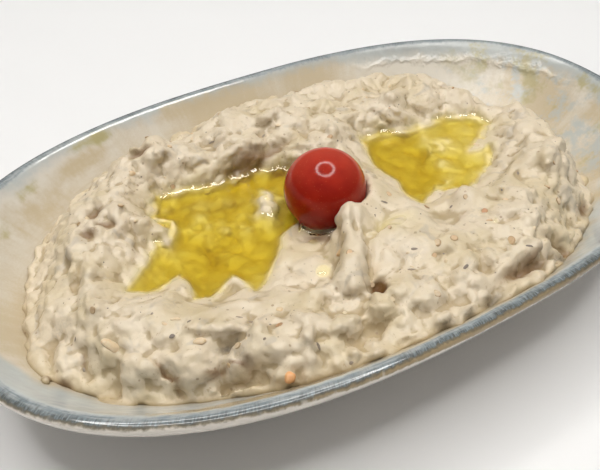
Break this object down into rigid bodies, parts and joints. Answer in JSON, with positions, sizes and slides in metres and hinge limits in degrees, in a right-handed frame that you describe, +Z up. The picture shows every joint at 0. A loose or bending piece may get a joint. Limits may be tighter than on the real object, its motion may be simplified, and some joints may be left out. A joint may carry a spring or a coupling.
{
  "type": "baba ganoush",
  "caption": "Oval stoneware dish filled with chunky smoked-aubergine dip, with pools of olive oil and a cherry tomato on top; it rests on its foot ring.",
  "frame": {"origin": "middle of the foot ring's underside, on the table", "axes": "+X along the dish's length, +Y across it, +Z up"},
  "size_m": [0.24, 0.144, 0.0549],
  "materials": {
    "dish": "gloss",
    "dip": "satin",
    "oil": "gloss",
    "tomato": "gloss"
  },
  "bodies": {
    "root": {"dish": "dish", "dip": "dip", "oil_left": "oil", "oil_right": "oil", "tomato": "tomato"}
  },
  "joints": []
}
